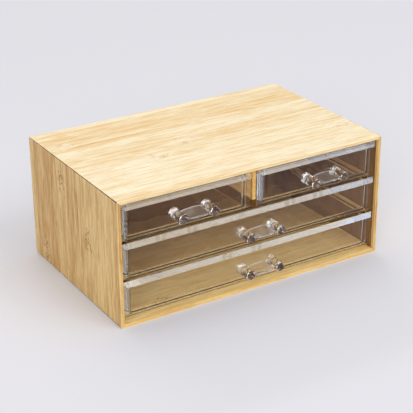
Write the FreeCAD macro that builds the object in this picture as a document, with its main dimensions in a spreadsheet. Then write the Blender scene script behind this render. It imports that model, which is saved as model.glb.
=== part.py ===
import FreeCAD, Part
import math
import os
import types

import Sketcher

# Desktop mini drawers: a mitred bamboo casing with four clear drawers that slide out to the front.
# Two small drawers hang side by side under the top panel, and two of full width lie below them.
# Lengths are in millimetres. X runs across the front, Y from front to back and Z up.
# The origin is the middle of the casing's underside.

LENGTHS = {
    # Casing of four mitred panels
    "casing_width": 255.0,
    "casing_depth": 160.0,
    "casing_height": 110.0,
    "panel_thickness": 3.0,
    "mitre_tip_radius": 0.4,
    "arris_radius": 0.2,
    # Back panel, let in between the four panels
    "back_thickness": 3.0,
    "back_inset": 1.0,
    # Divider that hangs between the two small drawers
    "divider_thickness": 3.0,
    "divider_drop": 27.0,
    "divider_setback": 4.0,
    "divider_groove_depth": 1.0,
    "divider_edge_radius": 0.5,
    # Runner strips
    "runner_width": 4.5,
    "runner_height": 2.2,
    "runner_edge_radius": 0.6,
    "runner_start": 1.3,
    "running_gap": 0.3,
    # Bevelled drawer fronts and the gaps round them
    "front_thickness": 4.0,
    "front_land": 0.5,
    "front_recess": 0.3,
    "front_side_gap": 0.5,
    "front_middle_gap": 1.0,
    "gap_under_fronts": 4.0,
    "gap_over_fronts": 2.4,
    "gap_between_rows": 2.3,
    "glue_line": 0.15,
    # Moulded trays
    "tray_inset": 5.1,
    "tray_wall": 2.0,
    "tray_corner_radius": 3.0,
    "tray_floor_radius": 2.0,
    "tray_rim_drop": 1.0,
    "tray_floor_rise": 1.0,
    "tray_rear_gap": 2.0,
    "tray_lip_width": 4.0,
    "tray_lip_thickness": 2.0,
    "tray_lip_corner_radius": 2.0,
    # Moulded handles: two posts and a thumb blade between them
    "handle_spacing": 29.0,
    "handle_reach": 15.6,
    "post_diameter": 8.6,
    "post_rim_radius": 1.2,
    "post_collar_width": 0.7,
    "post_collar_thickness": 1.0,
    "post_collar_fillet": 0.5,
    "blade_thickness": 2.0,
    "blade_edge_radius": 0.7,
    "blade_back_gap": 4.0,
    "blade_front_setback": 0.6,
    "blade_slope": 1.0,
    "blade_rise": 2.3,
}

ANGLES = {
    "tray_draft": 1.0,
}

ROW_COUNT = 3
FULL_TURN = 360.0
QUARTER_TURN = FULL_TURN / 4
HALF_TURN = FULL_TURN / 2
LEFT = -1
RIGHT = 1
FRONTWARDS = FreeCAD.Vector(0, -1, 0)
BACKWARDS = FreeCAD.Vector(0, 1, 0)
DOWNWARDS = FreeCAD.Vector(0, 0, -1)

# How closely two directions, places or volumes agree when they count as the same
FACING_SHARE = 0.999
SAME_PLACE_SHARE = 1e-6
VOLUME_SHARE = 0.001


class Size:
    """A size that knows both its value and the formula that gives it from the sheet."""

    def __init__(self, value, formula):
        self.value = value
        self.formula = formula

    def joined(self, other, sign, value):
        """The size made of this one and another, or a plain count or share."""
        term = other.formula if isinstance(other, Size) else repr(other)
        return Size(value, f"({self.formula} {sign} {term})")

    def __add__(self, other):
        return self.joined(other, "+", self.value + plain(other))

    def __sub__(self, other):
        return self.joined(other, "-", self.value - plain(other))

    def __mul__(self, other):
        return self.joined(other, "*", self.value * plain(other))

    def __truediv__(self, other):
        return self.joined(other, "/", self.value / plain(other))

    def __neg__(self):
        return Size(-self.value, f"(-1 * {self.formula})")


def plain(size):
    """The number behind a size, or the number itself."""
    return size.value if isinstance(size, Size) else size


def fill_sheet(doc):
    """Writes the sizes to the sheet and gives them back by name, with their formulas."""
    sheet = doc.addObject("Spreadsheet::Sheet", "Sheet")
    sizes = {}
    for row, (name, value) in enumerate({**LENGTHS, **ANGLES}.items(), start=1):
        sheet.set(f"A{row}", name)
        sheet.set(f"B{row}", str(value))
        sheet.setAlias(f"B{row}", name)
        sizes[name] = Size(value, f"Sheet.{name}")
    doc.recompute()
    return types.SimpleNamespace(**sizes)


def bind(thing, path, size):
    """Ties a property of an object to its formula, or leaves it alone where the size is zero."""
    if isinstance(size, Size):
        thing.setExpression(path, size.formula)


def new_body(doc, label, x=0, y=0, z=0, turn=0):
    """A body of its own, turned about Y and placed in the frame of the whole object."""
    body = doc.addObject("PartDesign::Body", label)
    body.Label = label
    spin = FreeCAD.Rotation(FreeCAD.Vector(0, 1, 0), turn)
    body.Placement = FreeCAD.Placement(FreeCAD.Vector(plain(x), plain(y), plain(z)), spin)
    for axis, size in zip("xyz", (x, y, z)):
        bind(body, f"Placement.Base.{axis}", size)
    return body


def new_sketch(body, name, role, x=0, y=0, z=0):
    """A sketch on one of the body's origin planes, moved by x, y and z in the plane's own axes."""
    plane = next(item for item in body.Origin.OriginFeatures if item.Role == role)
    sketch = body.newObject("Sketcher::SketchObject", name)
    sketch.AttachmentSupport = (plane, [""])
    sketch.MapMode = "FlatFace"
    for axis, size in zip("xyz", (x, y, z)):
        bind(sketch, f"AttachmentOffset.Base.{axis}", size)
    return sketch


def pin_point(sketch, element, end, corner):
    """Holds a sketch point at a corner that is given in named sizes."""
    origin = -1
    axes = (("DistanceX", "x", -2), ("DistanceY", "y", -1))
    for size, (kind, letter, axis_line) in zip(corner, axes):
        if isinstance(size, Size):
            index = sketch.addConstraint(Sketcher.Constraint(kind, origin, 1, element, end, size.value))
            name = f"{letter}{index}"
            sketch.renameConstraint(index, name)
            sketch.setExpression(f"Constraints.{name}", size.formula)
        else:
            sketch.addConstraint(Sketcher.Constraint("PointOnObject", element, end, axis_line))


def add_rounding(sketch, corner, radius, point, before, after):
    """Rounds one corner between two lines with a tangent arc and pins the corner's sharp point."""
    towards_before, towards_after = before[1], after[1]
    half_angle = towards_before.getAngle(towards_after) / 2
    middle = (towards_before + towards_after).normalize()
    centre = point + middle * (radius.value / math.sin(half_angle))
    touch_in = point + towards_before * (radius.value / math.tan(half_angle))
    touch_out = point + towards_after * (radius.value / math.tan(half_angle))
    turns_left = towards_before.cross(towards_after).z < 0
    first, last = (touch_in, touch_out) if turns_left else (touch_out, touch_in)
    circle = Part.Circle(centre, FreeCAD.Vector(0, 0, 1), radius.value)
    arc = sketch.addGeometry(Part.ArcOfCircle(circle, circle.parameter(first), circle.parameter(last)))
    end_in, end_out = (1, 2) if turns_left else (2, 1)
    sketch.addConstraint(Sketcher.Constraint("Tangent", before[0], 2, arc, end_in))
    sketch.addConstraint(Sketcher.Constraint("Tangent", arc, end_out, after[0], 1))
    index = sketch.addConstraint(Sketcher.Constraint("Radius", arc, radius.value))
    name = f"r{index}"
    sketch.renameConstraint(index, name)
    sketch.setExpression(f"Constraints.{name}", radius.formula)
    sharp = sketch.addGeometry(Part.Point(point), True)
    sketch.addConstraint(Sketcher.Constraint("PointOnObject", sharp, 1, before[0]))
    sketch.addConstraint(Sketcher.Constraint("PointOnObject", sharp, 1, after[0]))
    pin_point(sketch, sharp, 1, corner)


def draw_outline(sketch, corners, roundings=None):
    """Draws a closed outline through the corners, with a tangent arc where a corner is rounded."""
    count = len(corners)
    roundings = roundings or [0] * count
    points = [FreeCAD.Vector(plain(x), plain(y), 0) for x, y in corners]
    lines = []
    headings = []
    for i, start in enumerate(points):
        stop = points[(i + 1) % count]
        heading = (stop - start).normalize()
        headings.append(heading)
        trims = []
        for here, towards in ((i, i - 1), ((i + 1) % count, (i + 2) % count)):
            away = (points[towards] - points[here]).normalize()
            along = heading if here == i else -heading
            trims.append(plain(roundings[here]) / math.tan(along.getAngle(away) / 2))
        segment = Part.LineSegment(start + heading * trims[0], stop - heading * trims[1])
        lines.append(sketch.addGeometry(segment))
    for i, (corner, radius) in enumerate(zip(corners, roundings)):
        before, after = lines[i - 1], lines[i]
        if isinstance(radius, Size):
            back_along, onward = (before, -headings[i - 1]), (after, headings[i])
            add_rounding(sketch, corner, radius, points[i], back_along, onward)
        else:
            sketch.addConstraint(Sketcher.Constraint("Coincident", before, 2, after, 1))
            pin_point(sketch, after, 1, corner)


def rectangle(left, right, low, high):
    """Corners of an upright rectangle, against the clock from its lower left."""
    return [(left, low), (right, low), (right, high), (left, high)]


def add_pad(body, name, sketch, length, side="One side", reverse=False):
    """Pads a sketch along its normal, or against it."""
    pad = body.newObject("PartDesign::Pad", name)
    pad.Profile = sketch
    pad.SideType = side
    pad.Reversed = reverse
    bind(pad, "Length", length)
    return pad


def add_dressing(body, kind, name, base, picks, path, size):
    """Adds a fillet or a chamfer to the faces or edges of the feature below it."""
    dressing = body.newObject(f"PartDesign::{kind}", name)
    dressing.Base = (base, picks)
    bind(dressing, path, size)


def faces_facing(feature, direction):
    """Names of the flat faces of a feature that look in a direction and lie furthest that way."""
    picks = []
    furthest = max(vertex.Point.dot(direction) for vertex in feature.Shape.Vertexes)
    for index, face in enumerate(feature.Shape.Faces, start=1):
        flat = isinstance(face.Surface, Part.Plane)
        if flat and face.normalAt(0, 0).dot(direction) > FACING_SHARE:
            reach = face.CenterOfMass.dot(direction)
            if math.isclose(reach, furthest, rel_tol=SAME_PLACE_SHARE, abs_tol=SAME_PLACE_SHARE):
                picks.append(f"Face{index}")
    return picks


def mitred_panel(doc, s, label, span, x, z, turn):
    """A panel with its ends cut at 45 degrees. Its outer face is its local top, z zero."""
    body = new_body(doc, label, x=x, z=z, turn=turn)
    profile = new_sketch(body, f"{label}_profile", "XZ_Plane")
    outer, inner = span / 2, span / 2 - s.panel_thickness
    corners = [(-outer, 0), (-inner, -s.panel_thickness), (inner, -s.panel_thickness), (outer, 0)]
    draw_outline(profile, corners, [s.mitre_tip_radius, 0, 0, s.mitre_tip_radius])
    board = add_pad(body, f"{label}_board", profile, s.casing_depth, side="Symmetric")
    doc.recompute()
    ends = faces_facing(board, FRONTWARDS) + faces_facing(board, BACKWARDS)
    add_dressing(body, "Fillet", f"{label}_eased_ends", board, ends, "Radius", s.arris_radius)
    doc.recompute()
    return body


def build_casing(doc, s):
    """The four mitred panels, the back panel and the divider."""
    flush = s.casing_width / 2
    middle = s.casing_height / 2
    top = mitred_panel(doc, s, "top_panel", s.casing_width, 0, s.casing_height, 0)
    cut_divider_groove(doc, s, top)
    mitred_panel(doc, s, "right_panel", s.casing_height, flush, middle, QUARTER_TURN)
    mitred_panel(doc, s, "bottom_panel", s.casing_width, 0, 0, HALF_TURN)
    mitred_panel(doc, s, "left_panel", s.casing_height, -flush, middle, -QUARTER_TURN)
    build_back(doc, s)
    build_divider(doc, s)


def divider_length(s):
    """Length of the divider, from its front edge to the back panel."""
    return s.casing_depth - s.divider_setback - s.back_inset - s.back_thickness


def cut_divider_groove(doc, s, body):
    """A stopped groove in the underside of the top panel, which the divider is glued into."""
    board = body.Tip
    groove = new_sketch(body, "divider_groove_outline", "XY_Plane", z=-s.panel_thickness)
    half = s.divider_thickness / 2
    front = s.divider_setback - s.casing_depth / 2
    draw_outline(groove, rectangle(-half, half, front, front + divider_length(s)))
    pocket = body.newObject("PartDesign::Pocket", "divider_groove")
    pocket.Profile = groove
    pocket.Reversed = True
    bind(pocket, "Length", s.divider_groove_depth)
    doc.recompute()
    wanted = plain(s.divider_thickness * divider_length(s) * s.divider_groove_depth)
    removed = board.Shape.Volume - pocket.Shape.Volume
    if not math.isclose(removed, wanted, rel_tol=VOLUME_SHARE):
        raise ValueError(f"the divider's groove removed {removed:.1f} of {wanted:.1f} cubic mm")


def build_back(doc, s):
    """The back panel, let in between the four panels a little short of their rear edges."""
    rear = s.casing_depth / 2 - s.back_inset
    body = new_body(doc, "back_panel", y=rear)
    profile = new_sketch(body, "back_outline", "XZ_Plane")
    half = s.casing_width / 2 - s.panel_thickness
    draw_outline(profile, rectangle(-half, half, s.panel_thickness, s.casing_height - s.panel_thickness))
    board = add_pad(body, "back_board", profile, s.back_thickness)
    doc.recompute()
    rear_face = faces_facing(board, BACKWARDS)
    add_dressing(body, "Fillet", "back_eased_rim", board, rear_face, "Radius", s.arris_radius)
    doc.recompute()


def build_divider(doc, s):
    """The short upright between the small drawers, with rounded lower edges."""
    top = s.casing_height - s.panel_thickness
    body = new_body(doc, "divider", y=s.divider_setback - s.casing_depth / 2, z=top)
    profile = new_sketch(body, "divider_section", "XZ_Plane")
    half = s.divider_thickness / 2
    corners = rectangle(-half, half, -s.divider_drop, s.divider_groove_depth)
    draw_outline(profile, corners, [s.divider_edge_radius, s.divider_edge_radius, 0, 0])
    add_pad(body, "divider_board", profile, divider_length(s), reverse=True)
    doc.recompute()


def front_height(s):
    """Height of one drawer front: what the gaps leave of the opening, shared by the rows."""
    opening = s.casing_height - s.panel_thickness * 2
    gaps = s.gap_under_fronts + s.gap_over_fronts + s.gap_between_rows * (ROW_COUNT - 1)
    return (opening - gaps) / ROW_COUNT


def row_base(s, row):
    """Height of the lower edge of the fronts in a row, counted from the bottom."""
    return s.panel_thickness + s.gap_under_fronts + (front_height(s) + s.gap_between_rows) * row


def build_runner(doc, s, label, wall, side, row):
    """A runner strip glued to a wall at x = wall, on the side that faces the drawer it carries."""
    start = s.front_recess + s.front_thickness + s.runner_start - s.casing_depth / 2
    length = s.casing_depth / 2 - s.back_inset - s.back_thickness - start
    lip = row_base(s, row) + front_height(s) - s.tray_rim_drop - s.tray_lip_thickness
    body = new_body(doc, label, x=wall, y=start, z=lip - s.running_gap)
    profile = new_sketch(body, f"{label}_section", "XZ_Plane")
    free = s.runner_width * side
    corners = [(0, 0), (0, -s.runner_height), (free, -s.runner_height), (free, 0)]
    draw_outline(profile, corners, [0, 0, s.runner_edge_radius, s.runner_edge_radius])
    add_pad(body, f"{label}_strip", profile, length, reverse=True)
    doc.recompute()


def build_runners(doc, s):
    """Three strips on each side panel and one on each face of the divider."""
    wall = s.casing_width / 2 - s.panel_thickness
    for row, row_name in enumerate(("bottom", "middle", "top")):
        build_runner(doc, s, f"left_runner_{row_name}", -wall, RIGHT, row)
        build_runner(doc, s, f"right_runner_{row_name}", wall, LEFT, row)
    face = s.divider_thickness / 2
    build_runner(doc, s, "divider_runner_left", -face, LEFT, ROW_COUNT - 1)
    build_runner(doc, s, "divider_runner_right", face, RIGHT, ROW_COUNT - 1)


def build_front(doc, s, label, place, width):
    """A thick clear front with a wide bevel all round its face."""
    body = new_body(doc, label, **place)
    profile = new_sketch(body, f"{label}_outline", "XZ_Plane")
    draw_outline(profile, rectangle(-(width / 2), width / 2, 0, front_height(s)))
    slab = add_pad(body, f"{label}_slab", profile, s.front_thickness, reverse=True)
    doc.recompute()
    face = faces_facing(slab, FRONTWARDS)
    bevel = s.front_thickness - s.front_land
    add_dressing(body, "Chamfer", f"{label}_bevel", slab, face, "Size", bevel)
    doc.recompute()


def hollow_floor(feature, height):
    """Names of the flat faces of a hollowed feature that look up from a given height."""
    picks = []
    for index, face in enumerate(feature.Shape.Faces, start=1):
        level = math.isclose(face.CenterOfMass.z, height, rel_tol=SAME_PLACE_SHARE)
        if isinstance(face.Surface, Part.Plane) and level:
            picks.append(f"Face{index}")
    return picks


def build_tray(doc, s, label, place, width):
    """A thin moulded tray with drafted walls, round corners and a lip along each side."""
    body = new_body(doc, label, **place)
    half = width / 2 - s.tray_inset
    near = s.front_thickness + s.glue_line
    inside = s.casing_depth - s.front_recess - s.back_inset - s.back_thickness
    far = inside - s.tray_rear_gap
    rim = front_height(s) - s.tray_rim_drop
    corner = s.tray_corner_radius + s.tray_wall

    outline = new_sketch(body, f"{label}_outline", "XY_Plane", z=rim)
    draw_outline(outline, rectangle(-half, half, near, far), [corner] * 4)
    block = add_pad(body, f"{label}_block", outline, rim - s.tray_floor_rise, reverse=True)
    bind(block, "TaperAngle", -s.tray_draft)
    doc.recompute()
    floor_round = s.tray_floor_radius + s.tray_wall
    floor = faces_facing(block, DOWNWARDS)
    add_dressing(body, "Fillet", f"{label}_round_floor", block, floor, "Radius", floor_round)

    hollow_outline = new_sketch(body, f"{label}_hollow_outline", "XY_Plane", z=rim)
    inner_half = half - s.tray_wall
    inner_corners = rectangle(-inner_half, inner_half, near + s.tray_wall, far - s.tray_wall)
    draw_outline(hollow_outline, inner_corners, [s.tray_corner_radius] * 4)
    hollow = body.newObject("PartDesign::Pocket", f"{label}_hollow")
    hollow.Profile = hollow_outline
    bind(hollow, "Length", rim - s.tray_floor_rise - s.tray_wall)
    bind(hollow, "TaperAngle", -s.tray_draft)
    doc.recompute()
    bottom = hollow_floor(hollow, plain(s.tray_floor_rise + s.tray_wall))
    add_dressing(body, "Fillet", f"{label}_inner_round", hollow, bottom, "Radius", s.tray_floor_radius)
    doc.recompute()

    lips = new_sketch(body, f"{label}_lip_outlines", "XY_Plane", z=rim)
    inner, outer = half - s.tray_wall / 2, half + s.tray_lip_width
    round_end = s.tray_lip_corner_radius
    right_lip = rectangle(inner, outer, near + corner, far - corner)
    left_lip = rectangle(-outer, -inner, near + corner, far - corner)
    draw_outline(lips, right_lip, [0, round_end, round_end, 0])
    draw_outline(lips, left_lip, [round_end, 0, 0, round_end])
    add_pad(body, f"{label}_lips", lips, s.tray_lip_thickness, reverse=True)
    doc.recompute()


def build_handle(doc, s, label, place):
    """A moulded handle: two round posts with collars, and an arched thumb blade between them.

    Its base is y zero, and it reaches to the front. The blade runs from post to post, falls
    towards the front, and its rear edge rises in the middle.
    """
    body = new_body(doc, label, **place)
    half = s.handle_spacing / 2
    radius = s.post_diameter / 2
    collar = radius + s.post_collar_width
    profile = new_sketch(body, f"{label}_post_profile", "XY_Plane", x=-half)
    foot = -s.post_collar_thickness
    tip = -s.handle_reach
    corners = [(0, 0), (0, tip), (radius, tip), (radius, foot), (collar, foot), (collar, 0)]
    draw_outline(profile, corners, [0, 0, s.post_rim_radius, s.post_collar_fillet, 0, 0])
    post = body.newObject("PartDesign::Revolution", f"{label}_left_post")
    post.Profile = profile
    post.ReferenceAxis = (profile, ["V_Axis"])
    post.Angle = FULL_TURN
    doc.recompute()
    middle_plane = next(item for item in body.Origin.OriginFeatures if item.Role == "YZ_Plane")
    posts = body.newObject("PartDesign::Mirrored", f"{label}_right_post")
    posts.Originals = [post]
    posts.MirrorPlane = (middle_plane, [""])
    body.Tip = posts
    doc.recompute()

    back = -(s.blade_back_gap)
    front = s.blade_front_setback - s.handle_reach
    thick = s.blade_thickness / 2
    sections = []
    for name, across, rise in (("left", -half, 0), ("middle", 0, s.blade_rise), ("right", half, 0)):
        section = new_sketch(body, f"{label}_blade_{name}", "YZ_Plane", z=across)
        crest = s.blade_slope + rise
        corners = [(front, -s.blade_slope - thick), (back, crest - thick),
                   (back, crest + thick), (front, thick - s.blade_slope)]
        draw_outline(section, corners, [s.blade_edge_radius] * 4)
        sections.append(section)
    blade = body.newObject("PartDesign::AdditiveLoft", f"{label}_blade")
    blade.Profile = sections[0]
    blade.Sections = sections[1:]
    blade.Ruled = False
    doc.recompute()


def build_drawers(doc, s):
    """Four drawers, each with its front, its tray behind it and its handle on its face."""
    full_width = s.casing_width - s.panel_thickness * 2 - s.front_side_gap * 2
    small_width = full_width / 2 - s.divider_thickness / 2 - s.front_middle_gap
    small_centre = full_width / 2 - small_width / 2
    face = s.front_recess - s.casing_depth / 2
    drawers = (
        ("bottom", 0, full_width, 0),
        ("middle", 0, full_width, 1),
        ("top_left", -small_centre, small_width, 2),
        ("top_right", small_centre, small_width, 2),
    )
    for name, centre, width, row in drawers:
        base = row_base(s, row)
        place = {"x": centre, "y": face, "z": base}
        build_front(doc, s, f"drawer_front_{name}", place, width)
        build_tray(doc, s, f"drawer_tray_{name}", place, width)
        grip = {"x": centre, "y": face - s.glue_line, "z": base + front_height(s) / 2}
        build_handle(doc, s, f"drawer_handle_{name}", grip)


def check_document(doc):
    """Stops if any object failed, or any sub-part is not one valid solid."""
    for thing in doc.Objects:
        if "Invalid" in thing.State or "Error" in thing.State:
            raise ValueError(f"{thing.Name} failed: {thing.State}")
    for body in doc.findObjects("PartDesign::Body"):
        shape = body.Shape
        if shape.isNull() or not shape.isValid() or len(shape.Solids) != 1:
            raise ValueError(f"{body.Label} is not one valid solid")


def export_parts(doc):
    """Writes each sub-part to its own file."""
    os.makedirs("parts", exist_ok=True)
    for body in doc.findObjects("PartDesign::Body"):
        body.Shape.exportStep(os.path.join("parts", f"{body.Label}.step"))


def main():
    doc = FreeCAD.newDocument("desktop_mini_drawers")
    s = fill_sheet(doc)
    build_casing(doc, s)
    build_runners(doc, s)
    build_drawers(doc, s)
    check_document(doc)
    export_parts(doc)


main()
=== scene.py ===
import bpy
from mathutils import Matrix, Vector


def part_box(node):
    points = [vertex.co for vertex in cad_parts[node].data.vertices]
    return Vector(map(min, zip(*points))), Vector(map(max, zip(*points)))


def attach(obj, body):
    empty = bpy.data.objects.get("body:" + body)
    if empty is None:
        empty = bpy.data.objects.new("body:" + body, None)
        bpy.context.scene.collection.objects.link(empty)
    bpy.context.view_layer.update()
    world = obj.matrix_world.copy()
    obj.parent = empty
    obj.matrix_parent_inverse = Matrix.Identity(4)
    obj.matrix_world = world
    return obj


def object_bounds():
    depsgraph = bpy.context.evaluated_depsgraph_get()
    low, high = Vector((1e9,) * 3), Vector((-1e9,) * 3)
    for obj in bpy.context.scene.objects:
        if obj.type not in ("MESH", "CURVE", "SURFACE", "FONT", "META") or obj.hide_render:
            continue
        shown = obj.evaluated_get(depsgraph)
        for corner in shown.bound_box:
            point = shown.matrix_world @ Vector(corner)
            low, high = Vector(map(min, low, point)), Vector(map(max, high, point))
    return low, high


bl_info = {
    "name": "Desktop mini drawers",
    "version": (1, 0, 0),
    "blender": (4, 5, 0),
    "location": "3D View > Sidebar > Mini drawers",
    "description": "Finishes the bamboo casing and its clear drawers, and sets up a plain studio",
    "category": "Object",
}

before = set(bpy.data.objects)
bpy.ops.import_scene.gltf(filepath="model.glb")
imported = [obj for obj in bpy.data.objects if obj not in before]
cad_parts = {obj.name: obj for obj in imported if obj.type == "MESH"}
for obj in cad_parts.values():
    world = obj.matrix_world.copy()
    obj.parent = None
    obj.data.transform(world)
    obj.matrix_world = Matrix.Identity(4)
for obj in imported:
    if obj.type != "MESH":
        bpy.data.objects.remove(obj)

import math

import bpy
from bpy.props import FloatProperty, FloatVectorProperty, IntProperty, PointerProperty
from mathutils import Euler, Matrix, Vector

# Lengths are in metres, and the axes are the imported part's: X across the front, Y to the back,
# Z up. A step is a pair of values: where a smooth change starts, and where it is complete.

CAD_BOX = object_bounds()
MM = 0.001
WHITE = (1.0, 1.0, 1.0)
DRAWERS = ("bottom", "middle", "top_left", "top_right")
CASING_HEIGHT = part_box("top_panel")[1].z
CASING_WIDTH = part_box("right_panel")[1].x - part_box("left_panel")[0].x
CASING_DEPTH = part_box("top_panel")[1].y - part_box("top_panel")[0].y
PANEL_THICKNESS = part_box("top_panel")[1].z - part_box("top_panel")[0].z
TRAY_INSET = 5.1 * MM  # from the end of a front in to its tray's outer wall

# Turns that lay the grain of a panel along the pattern's X
GRAIN_ALONG_X = (0.0, 0.0, 0.0)
GRAIN_ALONG_X_UPRIGHT = (math.pi / 2, 0.0, 0.0)
GRAIN_ALONG_Y = (0.0, 0.0, -math.pi / 2)
GRAIN_ALONG_Z = (0.0, math.pi / 2, 0.0)

# Bamboo: what sets each lamella apart
LAMELLA_SHIFT = 0.9  # most that a lamella's pattern is shifted along the grain
LAMELLA_TONES = (-0.20, 0.14)  # what the palest and the darkest lamella add to the grain
WARM_LAMELLA = (0.95, 0.86, 0.70)  # tone that some lamellas take on
WARM_SHARE = 0.12
WANDER_SIZE = (30 * MM, 9 * MM, 9 * MM)  # of the sway, along, across and into the panel

# Bamboo: layers of noise that make up the grain. Each has its length and pitch as shares of the
# fine fibre's, its detail and roughness, the step of its streaks and how far they darken.
FIBRE_LAYERS = {
    "broad": (8.0, 7.0, 2.0, 0.5, (0.34, 0.68), 0.26),
    "middle": (2.2, 2.4, 2.0, 0.5, (0.40, 0.64), 0.44),
    "fine": (1.0, 1.0, 2.0, 0.6, (0.42, 0.62), 0.40),
    "pores": (0.5, 0.7, 1.0, 0.5, (0.58, 0.70), 0.34),
}
DARK_LINES = (5.0, 1.6, 1.0, 0.5, (0.68, 0.80))
DARK_LINE_SHARE = 0.55
DARK_LINE_TONE = (0.86, 0.72, 0.50)  # the streak colour is multiplied by it
SEAM_STEP = (0.35 * MM, 0.05 * MM)  # distance from the line between two lamellas
SEAM_SHARE = 0.30

# Bamboo: the one long streak of the top panel
STRIPE_ENDS = (-118 * MM, -6 * MM)
STRIPE_FADES = (14 * MM, 30 * MM)  # length of the fade at each end
STRIPE_ACROSS = 35.5 * MM
STRIPE_STEP = (1.1 * MM, 0.165 * MM)  # distance from its middle
STRIPE_DRIFT = 2.4 * MM
STRIPE_DRIFT_PITCH = 60 * MM
STRIPE_SHARE = 0.75

# Bamboo: knuckle marks. Their centres are in mm along X, Y and Z of the part.
KNUCKLE_MARKS = {
    "top_panel": ((-52, -17, 110), (-15, 1, 110), (-109, 43, 110), (112, -41, 110)),
    "left_panel": ((-127.5, 19, 92), (-127.5, -26, 57), (-127.5, 58, 14)),
    "right_panel": ((127.5, -48, 80), (127.5, 10, 38), (127.5, 52, 98)),
    "bottom_panel": ((-78, -62, 3), (41, -20, 3), (96, 35, 3), (-20, 58, 3)),
    "back_panel": ((-64, 79, 34), (22, 79, 78), (88, 79, 52)),
}
MARK_WIDTH_SHARE = 0.47  # half a mark's width as a share of the lamella's
MARK_STEP = (1.15, 0.25)  # square of the distance from its centre, in reaches
MARK_PALE_SHARE = 0.36
DOT_CELL = (2.3 * MM, 1.7 * MM, 9 * MM)
DOT_STEP = (0.56, 0.30)
DOT_PATCH_STEP = (0.34, 0.50)
PATCH_SIZE = (7 * MM, 5 * MM, 9 * MM)
BLOTCH_STEP = (0.50, 0.66)
BLOTCH_SHARE = 0.55

# Bamboo: faces, edges and lacquer
CUT_FACE_STEP = (0.90, 0.97)  # how squarely a face looks along Y
# Paler sanded arrises with a painted highlight: the casing's outer edges are lightened
ARRIS_STEP = (0.9 * MM, 0.3 * MM)  # depth in from a sharp outer edge
ARRIS_SHARE = 0.30
# Where the painted shade of the inner faces sets in
INNER_FACE_STEP = (0.9, 0.98)  # depth in from the outside, in panel thicknesses
FIBRE_RELIEF, SEAM_RELIEF, DOT_RELIEF = 0.7, -0.8, -0.3  # heights in the bump
BAMBOO_BUMP = {"Strength": 0.25, "Distance": 0.12 * MM}
ROUGHNESS_RANGE = 0.16
SATIN = {"Specular IOR Level": 0.20, "Coat Weight": 0.04, "Coat Roughness": 0.30}

# Clear plastic
FLAT_FACE_STEP = (0.85, 0.95)  # how squarely a face looks along Y
SCUFF_SCALE = (90.0, 700.0, 260.0)  # scuffs per metre along X, Y and Z
SCUFF_STEP = (0.62, 0.80)
SCUFF_GAIN = 0.8  # what a scuff adds to the roughness, as a share of it
CEMENT_REACH = 0.5 * MM  # depth over which the cement takes hold
CEMENT_STEP = (0.46, 0.52)  # noise that tells voids from cement
CEMENTED_REFRACTION = 1.001

# Dried glue
LUMPS_PER_METRE = 900.0
GLUE_STEP = (0.3, 0.7)
GLUE_DARKEST = 0.55
GLUE_ROUGHNESS = (0.2, 0.8, 0.45, 0.7)  # noise from and to, roughness from and to
GLUE_BUMP = {"Strength": 0.5, "Distance": 0.1 * MM}
SEAM_CLEARANCE = 0.02 * MM  # from the glue to the casing's front and back

# Beads
CORNER_STEPS = 6
SWELL_STEP = (0.25, 0.75)  # noise at which a bead is thinnest and thickest
STEP_LENGTH = 1 * MM
MITRE_BEAD = {"Ripple": 0.15, "Ripple pitch": 9 * MM}
TRAY_BEAD = {"Corner radius": 3 * MM, "Step length": 0.6 * MM, "Ripple": 0.26,
             "Ripple pitch": 1.5 * MM}
# Middle of a tray's bead, in bead radii: in from the tray's outer wall, behind the front, over
# the tray's underside and under its rim
BEAD_INSET, BEAD_BEHIND, BEAD_OVER, BEAD_UNDER = 1.7, 1.28, 1.2, 3

# Studio. Each lamp has its place, its size, the setting that holds its power, and its colour.
LAMPS = {
    "key_light": ((0.6, 0.5, 6.0), (5.0, 5.0), "key_power", WHITE),
    "front_light": ((1.5, -4.5, 4.4), (3.0, 3.0), "front_power", WHITE),
    "left_light": ((-3.0, -3.9, 2.6), (3.2, 2.2), "left_power", WHITE),
    "edge_light": ((2.37, -2.1, 3.87), (1.4, 1.4), "edge_power", (0.76, 0.88, 1.0)),
    "glint_light": ((0.4, 3.1, 2.5), (2.6, 0.30), "glint_power", WHITE),
}
BOUNCES = 32  # light passes many faces of clear plastic
TRANSPARENT_BOUNCES = 40
FLOOR_REACH = 6.0
FLOOR_GAP = 0.05 * MM
SKY_STEP = (0.0, 0.8)  # height at which the world's light leaves the horizon's, and is overhead's
SENSOR_WIDTH = 36.0


def screen(red, green, blue):
    """A colour read off a screen, from 0 to 255 a channel, as scene values."""
    def straight(level):
        share = level / 255
        return share / 12.92 if share <= 0.04045 else ((share + 0.055) / 1.055) ** 2.4
    return straight(red), straight(green), straight(blue)


def colour_property(name, description, default):
    return FloatVectorProperty(name=name, description=description, subtype="COLOR", size=3,
                               min=0, max=1, default=default)


def length_property(name, description, default):
    return FloatProperty(name=name, description=description, unit="LENGTH", subtype="DISTANCE",
                         min=0, default=default)


def share_property(name, description, default):
    return FloatProperty(name=name, description=description, subtype="FACTOR", min=0, max=1,
                         default=default)


def power_property(name, description, default):
    return FloatProperty(name=name, description=description, unit="POWER", min=0,
                         default=default)


def angle_property(name, description, degrees):
    return FloatProperty(name=name, description=description, subtype="ANGLE",
                         default=math.radians(degrees))


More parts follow.
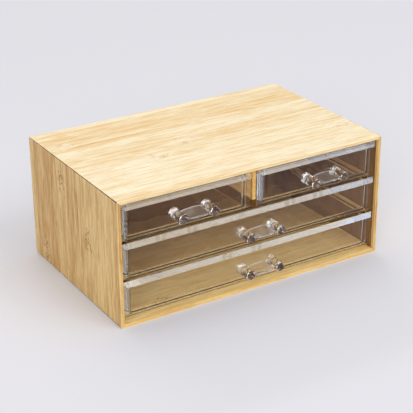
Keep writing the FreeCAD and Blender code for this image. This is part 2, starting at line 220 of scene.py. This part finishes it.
class BambooSettings(bpy.types.PropertyGroup):
    """Colours and scale of the laminated bamboo."""

    top_pale: colour_property("Top, pale", "Pale ground of the top panel",
                              screen(255, 243, 212))
    top_streak: colour_property("Top, streak", "Fibre streaks of the top panel",
                                screen(236, 196, 132))
    side_pale: colour_property("Sides, pale", "Pale ground of the side and back panels",
                               screen(238, 206, 142))
    side_streak: colour_property("Sides, streak", "Fibre streaks of the side and back panels",
                                 screen(190, 137, 66))
    bottom_pale: colour_property("Bottom, pale", "Pale ground of the bottom panel",
                                 screen(255, 228, 162))
    bottom_streak: colour_property("Bottom, streak", "Fibre streaks of the bottom panel",
                                   screen(228, 178, 100))
    strip_pale: colour_property("Strips, pale", "Pale ground of the runners and the divider",
                                screen(250, 216, 150))
    strip_streak: colour_property("Strips, streak", "Fibre streaks of the runners and the divider",
                                  screen(216, 164, 88))
    knuckle: colour_property("Knuckle", "Dots of the culm's knuckles", screen(158, 96, 34))
    # Paler sanding and a painted highlight, laid along the casing's sharp outer edges
    arris_sanding_and_highlight: colour_property("Arris", "Sanded outer edges of the casing", screen(255, 240, 208))
    cut_shade: colour_property("Cut edges", "Tone of the faces that look to the front or back",
                               (0.92, 0.84, 0.66))
    # Painted shade: a dark tone multiplied onto the inner faces of the top and side panels
    inside_painted_shade: colour_property("Inside", "Tone of the bare inner faces of the top and sides",
                                  (0.32, 0.235, 0.15))
    # Painted shade: a dark tone multiplied onto the back panel's inner face
    back_painted_shade: colour_property("Inside of the back", "Tone of the back panel's bare inner face",
                                (0.50, 0.42, 0.40))
    lamella_width: length_property("Lamella width", "Width of one bamboo lamella in a panel",
                                   20.5 * MM)
    fibre_pitch: length_property("Fibre pitch", "Distance between fine fibres", 0.8 * MM)
    fibre_length: length_property("Fibre length", "Length of the fine fibres", 16 * MM)
    sway: length_property("Sway", "How far the fibres wander across the grain", 1.6 * MM)
    knuckle_length: length_property("Knuckle length", "Reach of a knuckle mark along the grain",
                                    12 * MM)
    roughness: share_property("Roughness", "Mean roughness of the satin lacquer", 0.42)


class ClearSettings(bpy.types.PropertyGroup):
    """Looks of the clear plastic."""

    tint: colour_property("Tint", "Colour that the plastic lets through", (0.990, 0.986, 0.980))
    bevel_tint: colour_property("Bevel tint", "Colour that the bevels of the fronts let through",
                                (0.82, 0.90, 1.0))
    shadow_tint: colour_property("Shadow tint", "Light that one face lets through in a shadow",
                                 (0.986, 0.982, 0.976))
    refraction: FloatProperty(name="Refractive index", min=1, max=2, default=1.49,
                              description="Refractive index of the plastic")
    void_pitch: length_property("Void pitch", "Distance between voids in the handles' cement",
                                2.4 * MM)
    calm_mirror: colour_property("Mirror of flat faces",
                                 "Share of its head-on reflection that a flat face keeps",
                                 (0.10, 0.10, 0.105))
    front_roughness: share_property("Front roughness", "Roughness of the polished fronts", 0.015)
    tray_roughness: share_property("Tray roughness", "Roughness of the moulded trays", 0.03)
    handle_roughness: share_property("Handle roughness", "Roughness of the moulded handles",
                                     0.012)
    cement_roughness: share_property("Cement roughness", "Roughness of the cement beads", 0.02)


class BondSettings(bpy.types.PropertyGroup):
    """Sizes and colours of the glued joints."""

    seam_radius: length_property("Mitre glue radius", "Radius of the glue line at a mitre's front",
                                 0.46 * MM)
    seam_depth: length_property("Mitre glue depth", "How far the glue lies in from the corner",
                                0.58 * MM)
    seam_end_share: share_property("Mitre glue at the back", "Its radius there, as a share", 0.62)
    seam_colour: colour_property("Mitre glue", "Colour of the dried glue in the mitres",
                                 screen(70, 42, 20))
    tray_bead_radius: length_property("Tray bead radius",
                                      "Radius of the cement between tray and front", 0.66 * MM)
    bead_sides: IntProperty(name="Bead sides", description="Faces round a bead", min=3, max=32,
                            default=10)


class StudioSettings(bpy.types.PropertyGroup):
    """Floor, light and camera."""

    floor_colour: colour_property("Floor", "Colour of the floor", screen(224, 223, 228))
    world_colour: colour_property("World", "Colour of the light from overhead", WHITE)
    horizon_colour: colour_property("Horizon", "Colour of the light from the horizon and below",
                                    (0.34, 0.34, 0.35))
    world_strength: FloatProperty(name="World strength", min=0, default=0.53,
                                  description="Strength of the light all round")
    key_power: power_property("Key light", "Power of the large light above", 78.0)
    front_power: power_property("Front light", "Power of the large light before and above", 86.0)
    glint_power: power_property("Glint light", "Power of the strip light behind", 16.0)
    left_power: power_property("Left light", "Power of the light before the left corner", 132.0)
    edge_power: power_property("Edge light", "Power of the light that the bevels mirror", 19.0)
    camera_azimuth: angle_property("Azimuth", "Turn of the camera round the object", -31.54)
    camera_elevation: angle_property("Elevation", "Height of the camera over the horizon", 24.92)
    camera_roll: angle_property("Roll", "Roll of the camera about its own axis", -0.4)
    camera_distance: length_property("Distance", "Distance from the camera to its target", 1.0878)
    camera_lens: FloatProperty(name="Lens", min=1, default=108.26,
                               description="Focal length in millimetres")
    target_height: length_property("Target height", "Height of the point that the camera looks at",
                                   0.0436)
    target_side: FloatProperty(name="Target side", unit="LENGTH", subtype="DISTANCE",
                               description="How far right of the middle it looks", default=0.0011)


class Tree:
    """Adds nodes to a node tree. An input may be given as a value or as another node's output."""

    def __init__(self, tree):
        self.tree = tree

    def feed(self, node, inputs):
        """Gives a node its inputs, by name or place. None leaves one as it is."""
        for key, value in inputs.items():
            socket = node.inputs[key]
            if isinstance(value, bpy.types.NodeSocket):
                self.tree.links.new(value, socket)
            elif value is not None:
                if socket.type == "RGBA" and len(value) == 3:
                    value = (*value, 1.0)
                socket.default_value = value

    def add(self, kind, inputs=None, **settings):
        node = self.tree.nodes.new(kind)
        for name, value in settings.items():
            setattr(node, name, value)
        self.feed(node, inputs or {})
        return node

    def math(self, operation, first, second=None, third=None):
        inputs = {0: first, 1: second, 2: third}
        return self.add("ShaderNodeMath", inputs, operation=operation).outputs[0]

    def blend(self, share, first, second, mode="MIX"):
        """One colour turned into another by a share."""
        inputs = {"Factor": share, 6: first, 7: second}
        return self.add("ShaderNodeMix", inputs, data_type="RGBA", blend_type=mode).outputs[2]

    def lay(self, colour, over, mask, share, mode="MIX"):
        """A colour with another laid over it by a mask, at most by a share."""
        return self.blend(self.math("MULTIPLY", mask, share), colour, over, mode)

    def spread(self, value, low, high, to_low=0.0, to_high=1.0):
        """A value spread from one range to another, smoothly and within its ends."""
        inputs = {0: value, 1: low, 2: high, 3: to_low, 4: to_high}
        return self.add("ShaderNodeMapRange", inputs, interpolation_type="SMOOTHSTEP").outputs[0]

    def noise(self, vector, detail=2.0, roughness=0.5):
        inputs = {"Vector": vector, "Scale": 1.0, "Detail": detail, "Roughness": roughness,
                  "Distortion": 0.0}
        return self.add("ShaderNodeTexNoise", inputs).outputs[0]

    def vector(self, values, sizes):
        """Lengths as a vector, each in units of its own size."""
        shares = [self.math("DIVIDE", value, size) for value, size in zip(values, sizes)]
        return self.add("ShaderNodeCombineXYZ", dict(enumerate(shares))).outputs[0]

    def rescaled(self, vector, scale):
        return self.add("ShaderNodeMapping", {"Vector": vector, "Scale": scale}).outputs[0]

    def parts(self, vector):
        """The X, Y and Z of a vector."""
        return self.add("ShaderNodeSeparateXYZ", {0: vector}).outputs

    def facing(self, normal, step):
        """Whether a face looks to the front or back, from 0 to 1."""
        return self.spread(self.math("ABSOLUTE", self.parts(normal)[1]), *step)

    def bump(self, height, settings):
        return self.add("ShaderNodeBump", {"Height": height, **settings}).outputs[0]


def new_material(name):
    """A material, with the builder of its node tree and its shader."""
    material = bpy.data.materials.new(name)
    material.use_nodes = True
    return material, Tree(material.node_tree), material.node_tree.nodes["Principled BSDF"]


class Grain:
    """Where each point lies in a panel's pattern: along, across and into its lamella."""

    def __init__(self, build, place, turn):
        self.looks = bpy.context.scene.bamboo_settings
        self.build = build
        self.turn = turn
        turned = build.add("ShaderNodeMapping", {"Vector": place, "Rotation": turn}).outputs[0]
        self.along, self.across, self.depth = build.parts(turned)
        lamellas = build.math("DIVIDE", self.across, self.looks.lamella_width)
        self.lamella = build.math("ADD", lamellas, 0.5)
        chance = build.add("ShaderNodeTexWhiteNoise", {"W": build.math("FLOOR", self.lamella)},
                           noise_dimensions="1D").outputs
        self.tone = chance[0]
        self.warmth = build.add("ShaderNodeSeparateColor", {0: chance[1]}).outputs[1]
        self.slide = build.math("MULTIPLY_ADD", self.tone, LAMELLA_SHIFT, self.along)
        wander = build.vector((self.slide, self.across, self.depth), WANDER_SIZE)
        wander = build.noise(wander, detail=1.0)
        self.swayed = build.math("MULTIPLY_ADD", wander, self.looks.sway, self.across)

    def fibres(self, length, pitch, detail, roughness, step):
        """Noise drawn out along the grain, which starts anew in each lamella, and its streaks."""
        length, pitch = self.looks.fibre_length * length, self.looks.fibre_pitch * pitch
        place = self.build.vector((self.slide, self.swayed, self.depth), (length, pitch, pitch))
        noise = self.build.noise(place, detail, roughness)
        return noise, self.build.spread(noise, *step)

    def seam(self):
        """How near each point lies to the line between two lamellas, from 0 to 1."""
        share = self.build.math("FRACT", self.lamella)
        share = self.build.math("MINIMUM", share, self.build.math("SUBTRACT", 1.0, share))
        distance = self.build.math("MULTIPLY", share, self.looks.lamella_width)
        return self.build.spread(distance, *SEAM_STEP)

    def stripe(self):
        """Where the top panel's long streak lies, from 0 to 1."""
        build = self.build
        drift = build.noise(build.vector((self.along,), (STRIPE_DRIFT_PITCH,)))
        middle = build.math("MULTIPLY_ADD", drift, STRIPE_DRIFT, STRIPE_ACROSS)
        gap = build.math("ABSOLUTE", build.math("SUBTRACT", self.across, middle))
        (start, end), (fade_in, fade_out) = STRIPE_ENDS, STRIPE_FADES
        inside = build.math("MULTIPLY", build.spread(self.along, start, start + fade_in),
                            build.spread(self.along, end, end - fade_out))
        return build.math("MULTIPLY", inside, build.spread(gap, *STRIPE_STEP))

    def knuckles(self, marks):
        """How deep each point lies in a knuckle mark, from 0 to 1."""
        build = self.build
        spin = Euler(self.turn).to_matrix()
        width = self.looks.lamella_width * MARK_WIDTH_SHARE
        total = 0.0
        for mark in marks:
            centre = spin @ (Vector(mark) * MM)
            along = build.math("DIVIDE", build.math("SUBTRACT", self.along, centre.x),
                               self.looks.knuckle_length)
            across = build.math("DIVIDE", build.math("SUBTRACT", self.across, centre.y), width)
            bow = build.math("MULTIPLY", across, across)
            bent = build.math("ADD", along, bow)
            square = build.math("MULTIPLY_ADD", bent, bent, bow)
            total = build.math("MAXIMUM", build.spread(square, *MARK_STEP), total)
        return total

    def dots_and_blotches(self, mask):
        """The dark dots and the darker patches within the knuckle marks, from 0 to 1."""
        build = self.build
        cells = build.vector((self.along, self.swayed, self.depth), DOT_CELL)
        spots = build.add("ShaderNodeTexVoronoi",
                          {"Vector": cells, "Scale": 1.0, "Randomness": 1.0})
        patches = build.vector((self.along, self.across, self.depth), PATCH_SIZE)
        patches = build.noise(patches, detail=1.0)
        dots = build.spread(spots.outputs["Distance"], *DOT_STEP)
        dots = build.math("MULTIPLY", build.math("MULTIPLY", dots, mask),
                          build.spread(patches, *DOT_PATCH_STEP))
        return dots, build.math("MULTIPLY", build.spread(patches, *BLOTCH_STEP), mask)


def casing_masks(build, place):
    """How near each point lies to a sharp outer edge, where paler sanding and a painted highlight
    go, and whether it lies on an inner face, where painted shade goes, from 0 to 1.
    """
    x, y, z = build.parts(place)
    middle = build.math("SUBTRACT", z, CASING_HEIGHT / 2)
    reaches = ((x, CASING_WIDTH / 2), (y, CASING_DEPTH / 2), (middle, CASING_HEIGHT / 2))
    depths = [build.math("SUBTRACT", reach, build.math("ABSOLUTE", value))
              for value, reach in reaches]
    nearest = build.math("MINIMUM", depths[0], depths[1])
    second = build.math("MINIMUM", build.math("MAXIMUM", depths[0], depths[1]), depths[2])
    arris_sanding_and_highlight = build.spread(build.math("MAXIMUM", nearest, second), *ARRIS_STEP)
    least = build.math("MINIMUM", nearest, depths[2])
    return arris_sanding_and_highlight, build.spread(least, *(PANEL_THICKNESS * share for share in INNER_FACE_STEP))


def bamboo(name, kind, turn, marks=(), dot_share=0.0, stripe=False, shade=None):
    """Laminated bamboo: lamellas side by side, each with its own tone, fibres and knuckle marks.

    Kind picks the pale and the streak colour. Turn lays the grain along the pattern's X. Dot
    share is how strong the dots of the knuckle marks are, and shade the darker tone multiplied onto
    inner faces as painted shade.
    """
    looks = bpy.context.scene.bamboo_settings
    pale, streak = getattr(looks, f"{kind}_pale"), getattr(looks, f"{kind}_streak")
    dark_line = tuple(share * tone for share, tone in zip(streak, DARK_LINE_TONE))
    material, build, shader = new_material(name)
    coordinates = build.add("ShaderNodeTexCoord").outputs
    grain = Grain(build, coordinates["Object"], turn)

    noises = {}
    depth = build.spread(grain.tone, 0.0, 1.0, *LAMELLA_TONES)
    for layer, (*settings, share) in FIBRE_LAYERS.items():
        noises[layer], streaks = grain.fibres(*settings)
        depth = build.math("MULTIPLY_ADD", streaks, share, depth)
    colour = build.blend(depth, pale, streak)
    colour = build.lay(colour, dark_line, grain.fibres(*DARK_LINES)[1], DARK_LINE_SHARE)
    colour = build.lay(colour, WARM_LAMELLA, grain.warmth, WARM_SHARE, "MULTIPLY")
    if stripe:
        colour = build.lay(colour, dark_line, grain.stripe(), STRIPE_SHARE)
    seam = grain.seam()
    colour = build.lay(colour, streak, seam, SEAM_SHARE, "MULTIPLY")
    height = build.math("MULTIPLY", seam, SEAM_RELIEF)
    height = build.math("MULTIPLY_ADD", noises["fine"], FIBRE_RELIEF, height)
    if marks:
        mask = grain.knuckles(marks)
        dots, blotches = grain.dots_and_blotches(mask)
        colour = build.lay(colour, pale, mask, MARK_PALE_SHARE)
        colour = build.lay(colour, streak, blotches, BLOTCH_SHARE)
        colour = build.lay(colour, looks.knuckle, dots, dot_share)
        height = build.math("MULTIPLY_ADD", dots, DOT_RELIEF, height)

    cut = build.facing(coordinates["Normal"], CUT_FACE_STEP)
    colour = build.blend(cut, colour, looks.cut_shade, "MULTIPLY")
    arris_sanding_and_highlight, inside = casing_masks(build, coordinates["Object"])
    # Paler sanding and a painted highlight along the sharp outer edges
    colour = build.lay(colour, looks.arris_sanding_and_highlight, arris_sanding_and_highlight, ARRIS_SHARE)
    # Painted shade: inner faces are darkened by a multiplied tone
    if shade:
        colour = build.blend(inside, colour, shade, "MULTIPLY")
    roughness = build.math("MULTIPLY_ADD", noises["broad"], ROUGHNESS_RANGE,
                           looks.roughness - ROUGHNESS_RANGE / 2)
    build.feed(shader, {"Base Color": colour, "Roughness": roughness,
                        "Normal": build.bump(height, BAMBOO_BUMP), **SATIN})
    return material


def clear_plastic(name, roughness, ripple_pitch, ripple_height, calm="NONE", bond=None):
    """Clear plastic that lets lamp light through, rippled as polishing or moulding leaves it.

    Calm says which faces mirror little: NONE, the FLATS that look to the front or back, or ALL.
    Bond is the Y at which the plastic is cemented on. Light goes straight on there, but for
    voids in the cement that shine.
    """
    looks = bpy.context.scene.clear_settings
    material, build, shader = new_material(name)
    coordinates = build.add("ShaderNodeTexCoord").outputs
    place = coordinates["Object"]
    ripple = build.noise(build.rescaled(place, (1 / ripple_pitch,) * 3), detail=1.0)
    scuff = build.noise(build.rescaled(place, SCUFF_SCALE), detail=4.0, roughness=0.65)
    scuff = build.spread(scuff, *SCUFF_STEP)
    build.feed(shader, {
        "Base Color": looks.tint, "IOR": looks.refraction, "Transmission Weight": 1.0,
        "Roughness": build.math("MULTIPLY_ADD", scuff, roughness * SCUFF_GAIN, roughness),
        "Normal": build.bump(ripple, {"Strength": 1.0, "Distance": ripple_height}),
    })

    if bond is not None:
        held = build.spread(build.parts(place)[1], bond - CEMENT_REACH, bond)
        cement = build.noise(build.rescaled(place, (1 / looks.void_pitch,) * 3), detail=1.0)
        held = build.math("MULTIPLY", held, build.spread(cement, *CEMENT_STEP))
        build.feed(shader, {"IOR": build.math("MULTIPLY_ADD", held,
                                              CEMENTED_REFRACTION - looks.refraction,
                                              looks.refraction)})
    if calm == "ALL":
        build.feed(shader, {"Specular Tint": looks.calm_mirror})
    elif calm == "FLATS":
        flat = build.facing(coordinates["Normal"], FLAT_FACE_STEP)
        build.feed(shader, {"Specular Tint": build.blend(flat, WHITE, looks.calm_mirror),
                            "Base Color": build.blend(flat, looks.bevel_tint, looks.tint)})

    path = build.add("ShaderNodeLightPath").outputs
    passing = build.math("MAXIMUM", path["Is Shadow Ray"], path["Is Diffuse Ray"])
    window = build.add("ShaderNodeBsdfTransparent", {"Color": looks.shadow_tint}).outputs[0]
    surface = build.add("ShaderNodeMixShader", {0: passing, 1: shader.outputs[0], 2: window})
    build.feed(material.node_tree.nodes["Material Output"], {"Surface": surface.outputs[0]})
    return material


def dried_glue():
    """Brown glue that has dried in the mitres."""
    colour = bpy.context.scene.bond_settings.seam_colour
    material, build, shader = new_material("dried_glue")
    place = build.add("ShaderNodeTexCoord").outputs["Object"]
    patch = build.noise(build.rescaled(place, (LUMPS_PER_METRE,) * 3), detail=3.0)
    darkest = tuple(share * GLUE_DARKEST for share in colour)
    build.feed(shader, {"Base Color": build.blend(build.spread(patch, *GLUE_STEP), colour, darkest),
                        "Roughness": build.spread(patch, *GLUE_ROUGHNESS),
                        "Normal": build.bump(patch, GLUE_BUMP)})
    return material


def dress(nodes, material):
    """Gives CAD nodes their material."""
    for name in nodes:
        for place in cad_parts[name].material_slots:
            place.material = material


def bead_tree():
    """Geometry Nodes that sweep a round bead along every path of a mesh."""
    tree = bpy.data.node_groups.new("bead_along_paths", "GeometryNodeTree")
    sockets = {"Geometry": "Geometry", "Bead radius": "Float", "Corner radius": "Float",
               "Step length": "Float", "End share": "Float", "Ripple": "Float",
               "Ripple pitch": "Float", "Bead sides": "Int", "Material": "Material"}
    for name, kind in sockets.items():
        tree.interface.new_socket(name=name, in_out="INPUT", socket_type=f"NodeSocket{kind}")
    tree.interface.new_socket(name="Geometry", in_out="OUTPUT", socket_type="NodeSocketGeometry")
    build = Tree(tree)
    given = build.add("NodeGroupInput").outputs

    lines = build.add("GeometryNodeMeshToCurve", {"Mesh": given["Geometry"]})
    eased = build.add("GeometryNodeFilletCurve",
                      {"Curve": lines.outputs[0], "Radius": given["Corner radius"],
                       "Count": CORNER_STEPS}, mode="POLY")
    stepped = build.add("GeometryNodeResampleCurve",
                        {"Curve": eased.outputs[0], "Length": given["Step length"]},
                        mode="LENGTH")
    profile = build.add("GeometryNodeCurvePrimitiveCircle",
                        {"Resolution": given["Bead sides"], "Radius": given["Bead radius"]},
                        mode="RADIUS")

    waves = build.add("ShaderNodeVectorMath",
                      {0: build.add("GeometryNodeInputPosition").outputs[0],
                       "Scale": build.math("DIVIDE", 1.0, given["Ripple pitch"])},
                      operation="SCALE")
    swell = build.spread(build.noise(waves.outputs[0], detail=1.0), *SWELL_STEP, -1.0, 1.0)
    swell = build.math("MULTIPLY_ADD", swell, given["Ripple"], 1.0)
    gone = build.add("GeometryNodeSplineParameter").outputs["Factor"]
    loss = build.math("SUBTRACT", given["End share"], 1.0)
    taper = build.math("MULTIPLY_ADD", gone, loss, 1.0)
    swept = build.add("GeometryNodeCurveToMesh",
                      {"Curve": stepped.outputs[0], "Profile Curve": profile.outputs[0],
                       "Fill Caps": True, "Scale": build.math("MULTIPLY", swell, taper)})
    smooth = build.add("GeometryNodeSetShadeSmooth",
                       {"Geometry": swept.outputs[0], "Shade Smooth": True})
    real = build.add("GeometryNodeRealizeInstances", {0: smooth.outputs[0]})
    coated = build.add("GeometryNodeSetMaterial",
                       {"Geometry": real.outputs[0], "Material": given["Material"]})
    build.add("NodeGroupOutput", {0: coated.outputs[0]})
    return tree


def make_beads(name, points, edges, material, body, sizes):
    """A piece of beads along the edges, as a plain mesh that rides on a body."""
    base = bpy.data.meshes.new(f"{name}_paths")
    base.from_pydata(points, edges, [])
    guide = bpy.data.objects.new(f"{name}_paths", base)
    bpy.context.scene.collection.objects.link(guide)
    tree = bpy.data.node_groups.get("bead_along_paths") or bead_tree()
    modifier = guide.modifiers.new("beads", "NODES")
    modifier.node_group = tree
    values = {"Bead sides": bpy.context.scene.bond_settings.bead_sides, "Material": material,
              "Step length": STEP_LENGTH, "End share": 1.0, **sizes}
    for item in tree.interface.items_tree:
        if item.in_out == "INPUT" and item.name in values:
            modifier[item.identifier] = values[item.name]
    seen = guide.evaluated_get(bpy.context.evaluated_depsgraph_get())
    mesh = bpy.data.meshes.new_from_object(seen)
    bpy.data.objects.remove(guide)
    if not mesh.polygons:
        raise RuntimeError(f"{name} came out empty")
    mesh.name = name
    piece = bpy.data.objects.new(name, mesh)
    bpy.context.scene.collection.objects.link(piece)
    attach(piece, body)


class MINIDRAWERS_OT_finish_panels(bpy.types.Operator):
    """Give the casing's five bamboo panels their grain"""

    bl_idname = "minidrawers.finish_panels"
    bl_label = "Finish the panels"

    def execute(self, context):
        looks = context.scene.bamboo_settings
        # Each panel with its colours, turn, strength of dots, long streak and the painted shade of
        # its inner faces
        panels = {
            "top_panel": ("top", GRAIN_ALONG_X, 0.24, True, looks.inside_painted_shade),
            "bottom_panel": ("bottom", GRAIN_ALONG_X, 0.7, False, None),
            "back_panel": ("side", GRAIN_ALONG_X_UPRIGHT, 0.6, False, looks.back_painted_shade),
            "left_panel": ("side", GRAIN_ALONG_Z, 0.85, False, looks.inside_painted_shade),
            "right_panel": ("side", GRAIN_ALONG_Z, 0.85, False, looks.inside_painted_shade),
        }
        for node, (kind, turn, *finish) in panels.items():
            dress([node], bamboo(f"bamboo_{node}", kind, turn, KNUCKLE_MARKS[node], *finish))
        return {"FINISHED"}


class MINIDRAWERS_OT_finish_strips(bpy.types.Operator):
    """Give the runner strips and the divider their grain, which runs from front to back"""

    bl_idname = "minidrawers.finish_strips"
    bl_label = "Finish the strips"

    def execute(self, context):
        strips = [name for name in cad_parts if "runner" in name or name == "divider"]
        dress(strips, bamboo("bamboo_strips", "strip", GRAIN_ALONG_Y))
        return {"FINISHED"}


class MINIDRAWERS_OT_finish_clear_parts(bpy.types.Operator):
    """Give the fronts, trays and handles their clear plastics"""

    bl_idname = "minidrawers.finish_clear_parts"
    bl_label = "Finish the clear parts"

    def execute(self, context):
        looks = context.scene.clear_settings
        handle_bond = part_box("drawer_handle_bottom")[1].y
        # Each kind with its roughness, the pitch and height of its ripple, calm and bond
        kinds = {
            "front": (looks.front_roughness, 26 * MM, 0.016 * MM, "FLATS", None),
            "tray": (looks.tray_roughness, 14 * MM, 0.120 * MM, "ALL", None),
            "handle": (looks.handle_roughness, 6 * MM, 0.006 * MM, "NONE", handle_bond),
        }
        for kind, finish in kinds.items():
            material = clear_plastic(f"clear_{kind}", *finish)
            dress([f"drawer_{kind}_{drawer}" for drawer in DRAWERS], material)
        return {"FINISHED"}


class MINIDRAWERS_OT_glue_mitres(bpy.types.Operator):
    """Lay a thin line of dried glue in each of the casing's four mitres"""

    bl_idname = "minidrawers.glue_mitres"
    bl_label = "Glue the mitres"

    def execute(self, context):
        looks = context.scene.bond_settings
        outer = looks.seam_depth
        inner = PANEL_THICKNESS - looks.seam_radius * 2
        end = CASING_DEPTH / 2 - looks.seam_radius - SEAM_CLEARANCE
        path = ((-end, inner), (-end, outer), (end, outer), (end, inner))
        points, edges = [], []
        for side in (-1, 1):
            for height, inward in ((0.0, 1), (CASING_HEIGHT, -1)):
                first = len(points)
                points += [(side * (CASING_WIDTH / 2 - reach), y, height + inward * reach)
                           for y, reach in path]
                edges += [(first + step, first + step + 1) for step in range(len(path) - 1)]
        make_beads("mitre_glue_lines", points, edges, dried_glue(), "casing",
                   {"Bead radius": looks.seam_radius, "Corner radius": looks.seam_radius,
                    "End share": looks.seam_end_share, **MITRE_BEAD})
        return {"FINISHED"}


class MINIDRAWERS_OT_bond_trays(bpy.types.Operator):
    """Run a rippled clear bead of cement between each tray and the back of its front"""

    bl_idname = "minidrawers.bond_trays"
    bl_label = "Bond the trays"

    def execute(self, context):
        roughness = context.scene.clear_settings.cement_roughness
        material = clear_plastic("clear_cement", roughness, 3 * MM, 0.05 * MM)
        bead = context.scene.bond_settings.tray_bead_radius
        inset = TRAY_INSET + bead * BEAD_INSET
        for drawer in DRAWERS:
            front_low, front_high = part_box(f"drawer_front_{drawer}")
            tray_low, tray_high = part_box(f"drawer_tray_{drawer}")
            left, right = front_low.x + inset, front_high.x - inset
            y = front_high.y + bead * BEAD_BEHIND
            low, rim = tray_low.z + bead * BEAD_OVER, tray_high.z - bead * BEAD_UNDER
            points = [(left, y, rim), (left, y, low), (right, y, low), (right, y, rim)]
            make_beads(f"tray_bond_lines_{drawer}", points, [(0, 1), (1, 2), (2, 3)], material,
                       f"drawer_{drawer}", {"Bead radius": bead, **TRAY_BEAD})
        return {"FINISHED"}


class MINIDRAWERS_OT_set_studio(bpy.types.Operator):
    """Set up the pale floor, the soft lights and the camera"""

    bl_idname = "minidrawers.set_studio"
    bl_label = "Set up the studio"

    def execute(self, context):
        looks = context.scene.studio_settings
        make_floor(looks)
        make_world(looks)
        for name, (place, size, power, colour) in LAMPS.items():
            make_softbox(name, place, size, getattr(looks, power), colour)
        make_camera(looks)
        context.scene.view_settings.view_transform = "Standard"
        cycles = context.scene.cycles
        cycles.max_bounces = cycles.glossy_bounces = cycles.transmission_bounces = BOUNCES
        cycles.transparent_max_bounces = TRANSPARENT_BOUNCES
        return {"FINISHED"}


def make_floor(looks):
    """A wide plain floor just under the part."""
    level = CAD_BOX[0].z - FLOOR_GAP
    mesh = bpy.data.meshes.new("floor")
    corners = [(x * FLOOR_REACH, y * FLOOR_REACH, level)
               for x, y in ((-1, -1), (1, -1), (1, 1), (-1, 1))]
    mesh.from_pydata(corners, [], [(0, 1, 2, 3)])
    floor = bpy.data.objects.new("floor", mesh)
    bpy.context.scene.collection.objects.link(floor)
    material, build, shader = new_material("floor_paper")
    build.feed(shader, {"Base Color": looks.floor_colour, "Roughness": 1.0,
                        "Specular IOR Level": 0.0})
    mesh.materials.append(material)


def make_world(looks):
    """Soft light from all round, which grows from the horizon up."""
    world = bpy.data.worlds.new("studio")
    world.use_nodes = True
    build = Tree(world.node_tree)
    toward = build.add("ShaderNodeTexCoord").outputs["Generated"]
    lift = build.spread(build.parts(toward)[2], *SKY_STEP)
    build.feed(world.node_tree.nodes["Background"],
               {"Color": build.blend(lift, looks.horizon_colour, looks.world_colour),
                "Strength": looks.world_strength})
    bpy.context.scene.world = world


def make_softbox(name, place, size, power, colour):
    """A soft rectangular light that faces the middle of the part."""
    data = bpy.data.lights.new(name, "AREA")
    data.shape = "RECTANGLE"
    data.size, data.size_y = size
    data.energy = power
    data.color = colour
    light = bpy.data.objects.new(name, data)
    light.location = place
    aim = Vector((0.0, 0.0, CASING_HEIGHT / 2)) - light.location
    light.rotation_euler = aim.to_track_quat("-Z", "Y").to_euler()
    bpy.context.scene.collection.objects.link(light)


def make_camera(looks):
    """The camera at the photograph's angle."""
    data = bpy.data.cameras.new("camera")
    data.lens = looks.camera_lens
    data.sensor_width = SENSOR_WIDTH
    camera = bpy.data.objects.new("camera", data)
    azimuth, elevation = looks.camera_azimuth, looks.camera_elevation
    back = Vector((math.sin(azimuth) * math.cos(elevation),
                   -math.cos(azimuth) * math.cos(elevation), math.sin(elevation)))
    target = Vector((looks.target_side, 0.0, looks.target_height))
    facing = (-back).to_track_quat("-Z", "Y").to_matrix()
    facing = facing @ Matrix.Rotation(looks.camera_roll, 3, "Z")
    camera.location = target + back * looks.camera_distance
    camera.rotation_euler = facing.to_euler()
    bpy.context.scene.collection.objects.link(camera)
    bpy.context.scene.camera = camera


class MINIDRAWERS_PT_sidebar(bpy.types.Panel):
    """Lists the steps and their settings"""

    bl_idname = "MINIDRAWERS_PT_sidebar"
    bl_label = "Mini drawers"
    bl_space_type = "VIEW_3D"
    bl_region_type = "UI"
    bl_category = "Mini drawers"

    def draw(self, context):
        for step in STEPS:
            self.layout.operator(step.bl_idname)
        for name in SETTINGS:
            box = self.layout.box()
            group = getattr(context.scene, name)
            for value in group.bl_rna.properties:
                if value.identifier not in ("name", "rna_type"):
                    box.prop(group, value.identifier)


SETTINGS = {
    "bamboo_settings": BambooSettings,
    "clear_settings": ClearSettings,
    "bond_settings": BondSettings,
    "studio_settings": StudioSettings,
}
STEPS = (
    MINIDRAWERS_OT_finish_panels,
    MINIDRAWERS_OT_finish_strips,
    MINIDRAWERS_OT_finish_clear_parts,
    MINIDRAWERS_OT_glue_mitres,
    MINIDRAWERS_OT_bond_trays,
    MINIDRAWERS_OT_set_studio,
)


def register():
    for group in (*SETTINGS.values(), *STEPS, MINIDRAWERS_PT_sidebar):
        bpy.utils.register_class(group)
    for name, group in SETTINGS.items():
        setattr(bpy.types.Scene, name, PointerProperty(type=group))


def unregister():
    for name in SETTINGS:
        delattr(bpy.types.Scene, name)
    for group in reversed((*SETTINGS.values(), *STEPS, MINIDRAWERS_PT_sidebar)):
        bpy.utils.unregister_class(group)


def main():
    register()
    for step in STEPS:
        area, action = step.bl_idname.split(".")
        getattr(getattr(bpy.ops, area), action)()


if __name__ == "__main__":
    main()
